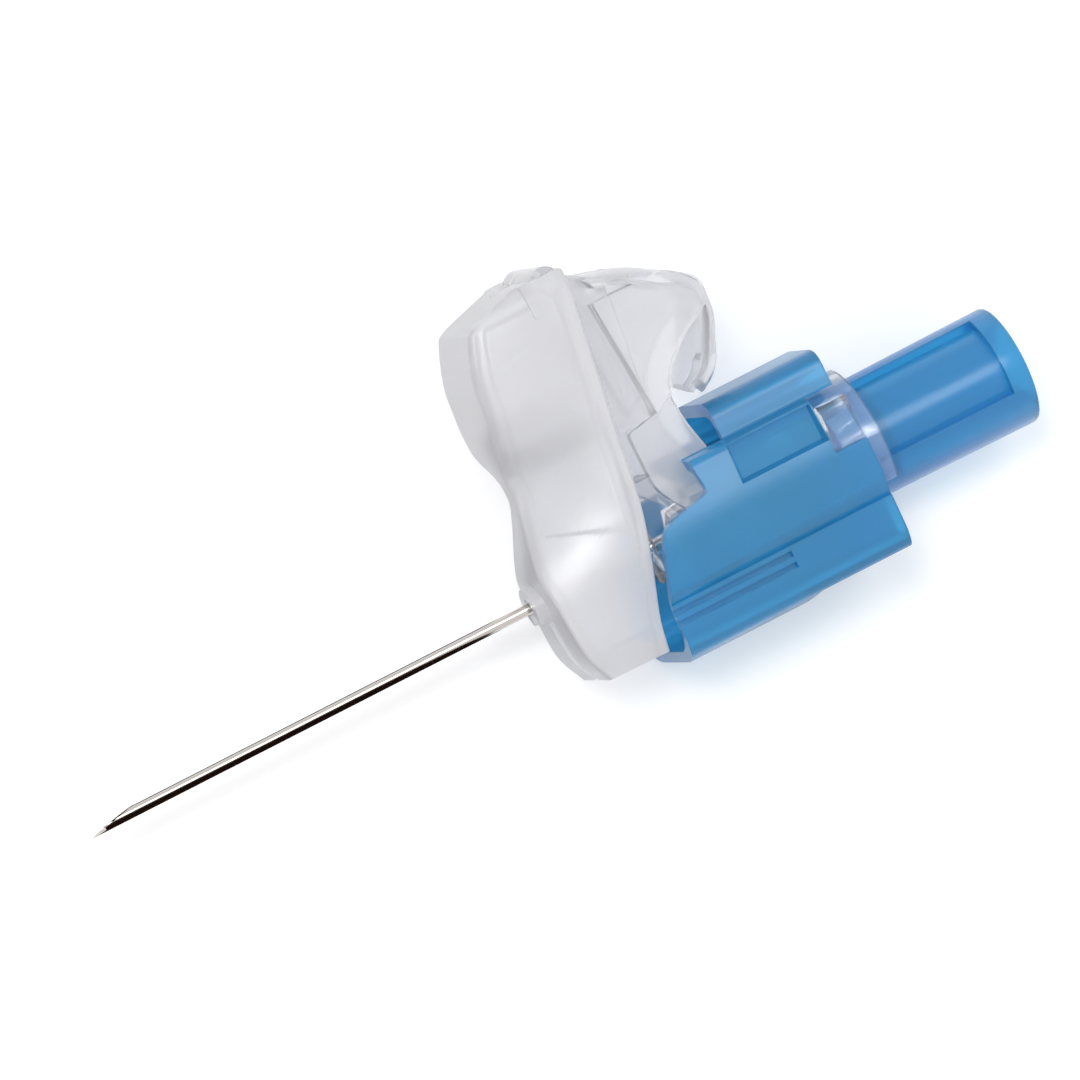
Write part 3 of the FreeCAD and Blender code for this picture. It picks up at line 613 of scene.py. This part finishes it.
def make_proximal_arm():
    """Natural polypropylene moulding: finger pad, two side walls with fork legs, and pins."""
    arm = make_pad()
    wall = placed(WALL_OUTLINE, KNEE)
    parts = [
        ("side_wall", rounded(wall + placed(LEG_OUTLINE, HINGE), 0.7), (LEG_INSIDE, LEG_OUTSIDE)),
        ("pad_side", rounded(wall[PAD_SIDE[0]:PAD_SIDE[1]], 0.7),
         (LEG_OUTSIDE - PAD_SIDE_SUNK, PAD_HALF)),
        ("web_plate", rounded(placed(WEB_OUTLINE, KNEE), 0.4), WEB_SPAN),
        ("trunnion", arc_points((HINGE.x, HINGE.y), TRUNNION_RADIUS, 32), TRUNNION_SPAN),
    ]
    for side in (-1, 1):
        for name, outline, span in parts:
            low, high = sorted(side * z for z in span)
            combine(arm, prism(name, outline, low, high), "UNION")
    for name, radius, half in (("knuckle", KNUCKLE_RADIUS, LEG_OUTSIDE),
                               ("knee_pin", KNEE_PIN_RADIUS, KNEE_PIN_HALF)):
        ring = arc_points((KNEE.x, KNEE.y), radius, 40)
        combine(arm, prism(name, ring, -half, half), "UNION")
    for first, last in PAD_SLOTS:
        slot = placed(oblong(first, last), KNEE)
        combine(arm, prism("needle_slot", slot, -PAD_SLOT_HALF, PAD_SLOT_HALF), "DIFFERENCE")
    soften(arm, 0.1, 32)
    stand_for(arm, "proximal_arm", "proximal_arm")


# The collar's section, half of it, from below to above: height, half width, and where it
# isn't the usual one, the corner's own radius.
COLLAR_OUTSIDE = [(-6.0, 3.0, 0.5), (-5.55, 4.1), (-4.8, 4.5), (-2.75, 4.58, 0.1),
                  (-2.2, 5.0, 0.15), (0.7, 5.0, 0.9), (3.5, 4.6), (3.62, 3.2, 0.2),
                  (5.65, 3.15, 1.3)]
COLLAR_INSIDE = [(-5.35, 2.7), (-5.05, 3.6), (-4.55, 4.05), (-2.4, 4.1), (-2.1, 4.3),
                 (0.75, 4.3), (2.95, 4.0), (3.05, 2.75), (4.95, 2.7, 0.8)]
COLLAR_REAR = -9.95
COLLAR_FRONT = -23.3
# How far the hollow and the bevel are cut past both ends.
HOLLOW_OVERRUN = 1.0
BEVEL_OVERRUN = 0.5
# What is cut from the collar, seen from the side: the front edge's shape, the notch for the
# mount's tab and the lower edge's step go right across, and the arms' gap only in the middle.
FRONT_EDGE = [(-26.3, -7.0), (-22.8, -7.0), (-23.2, -5.5), (-23.1, -2.5), (-22.2, 0.2),
              (-21.7, 1.1), (-18.8, 1.7, 0.3), (-19.1, 4.6), (-17.7, 4.9, 0.1),
              (-17.3, 6.65), (-26.3, 6.65)]
TAB_NOTCH = ((-11.8, 0.5), (-8.9, 3.62))
ARM_GAP = ((-23.4, 2.9), (-16.5, 6.65))
SOLE_STEP = [(-16.2, -7.0), (-16.2, -6.0), (-15.3, -5.7), (-8.9, -5.7), (-8.9, -7.0)]
RIGHT_ACROSS = 7.0
ARM_GAP_HALF = 3.25
# The wall that joins the collar to the nose, by its lower and upper edge and half width.
WEB = ((-5.4, -2.45), (-0.7, 2.45))
WEB_FRONT = -13.0
# Places along X and the radius at each.
BARREL = [(-20.2, 1.4), (-12.0, 1.4), (-11.6, 1.5), (-11.45, 1.85), (-11.3, 2.6),
          (-11.0, 3.1), (-10.7, 3.2), (-0.2, 3.3), (-0.06, 3.24), (0.0, 3.1)]
BORE = [(-20.3, 0.8), (-19.2, 0.8), (-19.2, 0.3), (-8.9, 0.3), (-8.0, 0.95), (-7.98, 1.895),
        (0.05, 2.136)]
# The shallow recess on each side of the barrel: its floor's radius and its cutter's outer one,
# the angles that it spans from Z towards Y, and where it starts and ends.
RECESS_FLOOR = 2.8
RECESS_PAST = 4.4
RECESS_ANGLES = (-21, 70)
RECESS_SPAN = (-9.4, -1.25)
RECESS_STEPS = 24
# The window in each side of the collar: two corners of its floor, and then how far its walls
# lean out at each height, which at the front is more and at the top less by these factors.
WINDOW = ((-16.7, 1.45), (-12.0, 3.35))
WINDOW_DRAFT = [(4.30, 0.0), (5.3, 0.30)]
WINDOW_FRONT_LEAN = 1.6
WINDOW_TOP_LEAN = 0.3
# The grip grooves' upper edges, and then their height, floor and length.
GROOVES = (-3.0, -3.62)
GROOVE_HEIGHT = 0.32
GROOVE_FLOOR = 4.16
GROOVE_SPAN = (-24.3, -16.1)
# The bevel under the collar's broad side: its foot, how high it reaches at the front and at
# the rear, and the half width just past the broad side.
BEVEL_FOOT = (-2.75, 4.42)
BEVEL_TOPS = (-2.3, -1.6)
BROAD_SIDE = 5.01
# How far out the cutters of the bevel and the grooves reach.
BEVEL_PAST = 5.6
GROOVE_PAST = 6.0


def recess_cutter(side):
    """What cuts the shallow recess on one side of the barrel."""
    first, last = (math.radians(angle) for angle in RECESS_ANGLES)
    inner = [first + (last - first) * i / RECESS_STEPS for i in range(RECESS_STEPS + 1)]
    section = [(RECESS_FLOOR * math.sin(a), side * RECESS_FLOOR * math.cos(a)) for a in inner]
    section += [(RECESS_PAST * math.sin(a), side * RECESS_PAST * math.cos(a))
                for a in reversed(inner)]
    return bar_along_x("barrel_recess", section, *RECESS_SPAN)


def window_cutter(side):
    """What cuts the drafted window recess in one side of the collar."""
    (x0, y0), (x1, y1) = WINDOW
    rings = []
    for z, draft in WINDOW_DRAFT:
        front = x0 - WINDOW_FRONT_LEAN * draft
        top = y1 + WINDOW_TOP_LEAN * draft
        rings.append([(x, y, side * z) for x, y in oblong((front, y0 - draft), (x1 + draft, top))])
    return loft("window_cut", rings)


def bevel_cutter(side):
    """What cuts the bevel under the collar's broad side, which widens to the rear."""
    foot, depth = BEVEL_FOOT
    rings = []
    ends = (COLLAR_FRONT - BEVEL_OVERRUN, COLLAR_REAR + BEVEL_OVERRUN)
    for x, top in zip(ends, BEVEL_TOPS):
        section = [(foot, depth), (top, BROAD_SIDE), (top, BEVEL_PAST), (foot, BEVEL_PAST)]
        rings.append([(x, y, side * z) for y, z in section])
    return loft("bevel_cut", rings)


def groove_cutter(side, top):
    """What cuts one grip groove in one side of the collar."""
    low, high = sorted((side * GROOVE_FLOOR, side * GROOVE_PAST))
    start, end = GROOVE_SPAN
    return prism("grip_groove", oblong((start, top - GROOVE_HEIGHT), (end, top)), low, high)


def make_hub():
    """Blue polypropylene moulding: luer barrel, nose and the collar round the nose."""
    hub = bar_along_x("blue_hub", rounded(both_halves(COLLAR_OUTSIDE), 0.35),
                      COLLAR_FRONT, COLLAR_REAR)
    hollow = bar_along_x("hollow", rounded(both_halves(COLLAR_INSIDE), 0.3),
                         COLLAR_FRONT - HOLLOW_OVERRUN, COLLAR_REAR + HOLLOW_OVERRUN)
    combine(hub, hollow, "DIFFERENCE")
    cuts = [
        ("front_cut", rounded(FRONT_EDGE, 0.6), RIGHT_ACROSS),
        ("tab_notch", oblong(*TAB_NOTCH), RIGHT_ACROSS),
        ("arm_gap", oblong(*ARM_GAP), ARM_GAP_HALF),
        ("sole_cut", SOLE_STEP, RIGHT_ACROSS),
    ]
    for name, outline, half in cuts:
        combine(hub, prism(name, outline, -half, half), "DIFFERENCE")
    for side in (-1, 1):
        combine(hub, window_cutter(side), "DIFFERENCE")
        combine(hub, bevel_cutter(side), "DIFFERENCE")
        for top in GROOVES:
            combine(hub, groove_cutter(side, top), "DIFFERENCE")
    (low, near), (high, far) = WEB
    web = [(low, near), (low, far), (high, far), (high, near)]
    combine(hub, bar_along_x("web", web, WEB_FRONT, COLLAR_REAR), "UNION")
    combine(hub, turned_along_x("barrel", BARREL), "UNION")
    combine(hub, turned_along_x("bore", BORE), "DIFFERENCE")
    for side in (-1, 1):
        combine(hub, recess_cutter(side), "DIFFERENCE")
    soften(hub, 0.07, 30)
    stand_for(hub, "needle_hub", "hub")


def make_mount():
    """Natural polypropylene moulding on the nose, with its edges rounded."""
    mount = copy_of("shield_mount", "clear_mount")
    soften(mount, 0.08, 24)
    stand_for(mount, "shield_mount", "hub")


make_shield()
make_proximal_arm()
make_hub()
make_mount()

# The way the camera faces, given in the part's frame, and the scale of the picture in pixels,
# with the place in it where the needle enters the shield.
SHIELD_ENTRY = Vector((-28.8, 0, 0)) * MM
CAMERA_BACK = Vector((-0.2283, 0.1001, 0.9683)).normalized()
CAMERA_RIGHT = Vector((0.4420, 0.8969, 0.0115)).cross(CAMERA_BACK).normalized()
CAMERA_UP = CAMERA_BACK.cross(CAMERA_RIGHT)
PICTURE_PX = 1080
PX_PER_MM = 19.3
ENTRY_PX = (531.5, 608.0)
LENS_MM = 400
SENSOR_MM = 36
# How much the table glows where it is looked at, and how bright the surround lights the part.
TABLE_GLOW = 0.22
SURROUND_LIGHT = 0.62
# Each lamp's place from the shield, right, up and back of the camera, its size, and its watts.
LAMPS = {
    "key_lamp": ((-0.08, 0.12, 0.60), 0.15, 1.2),
    "overhead_lamp": ((0.20, 0.20, 0.53), 0.20, 0.5),
}
# The dark cards along the bare tube: where they start and end along X, and the places in Y and
# Z of the two long edges of each.
FLAG_SPAN = (-0.085, -0.0295)
FLAG_LOW = floor_z + 0.1 * MM
FLAGS = {
    "lower_flag": [(-0.0006, FLAG_LOW), (-0.060, FLAG_LOW)],
    "side_flag": [(-0.008, FLAG_LOW), (-0.008, 0.045)],
    "upper_flag": [(0.0006, FLAG_LOW), (0.009, FLAG_LOW)],
}


def make_camera():
    """A long lens, looking at the middle of the picture."""
    data = bpy.data.cameras.new("camera")
    data.sensor_width = SENSOR_MM
    data.lens = LENS_MM
    data.clip_start = 0.01
    data.clip_end = 20
    camera = bpy.data.objects.new("camera", data)
    bpy.context.scene.collection.objects.link(camera)
    middle = PICTURE_PX / 2
    right = (middle - ENTRY_PX[0]) / PX_PER_MM * MM
    up = (ENTRY_PX[1] - middle) / PX_PER_MM * MM
    target = SHIELD_ENTRY + CAMERA_RIGHT * right + CAMERA_UP * up
    distance = PICTURE_PX / PX_PER_MM * MM * LENS_MM / SENSOR_MM
    turn = Matrix((CAMERA_RIGHT, CAMERA_UP, CAMERA_BACK)).transposed().to_4x4()
    camera.matrix_world = Matrix.Translation(target + CAMERA_BACK * distance) @ turn
    bpy.context.scene.camera = camera


def background_share(tree):
    """One for rays that show the background: straight, mirrored, or through clear plastic."""
    path = add_node(tree, "ShaderNodeLightPath")
    shown = path.outputs["Is Camera Ray"]
    for ray in ("Is Glossy Ray", "Is Transmission Ray"):
        shown = add_node(tree, "ShaderNodeMath", {"operation": "MAXIMUM"}, _0=shown,
                         _1=path.outputs[ray]).outputs[0]
    return shown


def make_table():
    """A white table that keeps the part's shadow."""
    bpy.ops.mesh.primitive_plane_add(size=4.0, location=(0, 0, floor_z))
    table = bpy.context.object
    table.name = "table"
    material, tree, out = new_material("white_table")
    glow = add_node(tree, "ShaderNodeMath", {"operation": "MULTIPLY"},
                    _0=background_share(tree), _1=TABLE_GLOW)
    body = add_node(tree, "ShaderNodeBsdfPrincipled", Base_Color=srgb("#f6f6f7"),
                    Roughness=0.9, Specular_IOR_Level=0.0,
                    Emission_Color=(1, 1, 1, 1), Emission_Strength=glow.outputs[0])
    tree.links.new(body.outputs[0], out.inputs["Surface"])
    table.data.materials.append(material)


def make_surround():
    """A plain white surround, dimmer as a light than where it is seen."""
    world = bpy.data.worlds.new("surround")
    bpy.context.scene.world = world
    world.use_nodes = True
    tree = world.node_tree
    tree.nodes.clear()
    out = tree.nodes.new("ShaderNodeOutputWorld")
    light = add_node(tree, "ShaderNodeBackground", Color=(1, 1, 1, 1), Strength=SURROUND_LIGHT)
    seen = add_node(tree, "ShaderNodeBackground", Color=(1, 1, 1, 1), Strength=1.0)
    mixed = add_node(tree, "ShaderNodeMixShader", _0=background_share(tree),
                     _1=light.outputs[0], _2=seen.outputs[0])
    tree.links.new(mixed.outputs[0], out.inputs["Surface"])


def make_lamp(name, place, size, watts):
    """A soft square lamp facing the part."""
    data = bpy.data.lights.new(name, "AREA")
    data.size = size
    data.energy = watts
    lamp = bpy.data.objects.new(name, data)
    bpy.context.scene.collection.objects.link(lamp)
    offset = CAMERA_RIGHT * place[0] + CAMERA_UP * place[1] + CAMERA_BACK * place[2]
    lamp.location = SHIELD_ENTRY + offset
    lamp.rotation_mode = "QUATERNION"
    lamp.rotation_quaternion = (-offset).to_track_quat("-Z", "Y")


def make_flag(name, edges):
    """A dark card beside the bare tube, seen only in reflections, that darkens its edges."""
    start, end = FLAG_SPAN
    places = [(start, *edges[0]), (end, *edges[0]), (end, *edges[1]), (start, *edges[1])]
    mesh = bpy.data.meshes.new(name)
    mesh.from_pydata(places, [], [(0, 1, 2, 3)])
    flag = bpy.data.objects.new(name, mesh)
    bpy.context.scene.collection.objects.link(flag)
    flag.visible_camera = False
    flag.visible_diffuse = False
    flag.visible_transmission = False
    flag.visible_shadow = False
    material, tree, out = new_material(name)
    black = add_node(tree, "ShaderNodeBsdfPrincipled", Base_Color=srgb("#241712"),
                     Roughness=1.0, Specular_IOR_Level=0.0)
    tree.links.new(black.outputs[0], out.inputs["Surface"])
    mesh.materials.append(material)


make_camera()
make_table()
make_surround()
for lamp_name, (place, size, watts) in LAMPS.items():
    make_lamp(lamp_name, place, size, watts)
for flag_name, edges in FLAGS.items():
    make_flag(flag_name, edges)

scene = bpy.context.scene
scene.view_settings.view_transform = "Standard"
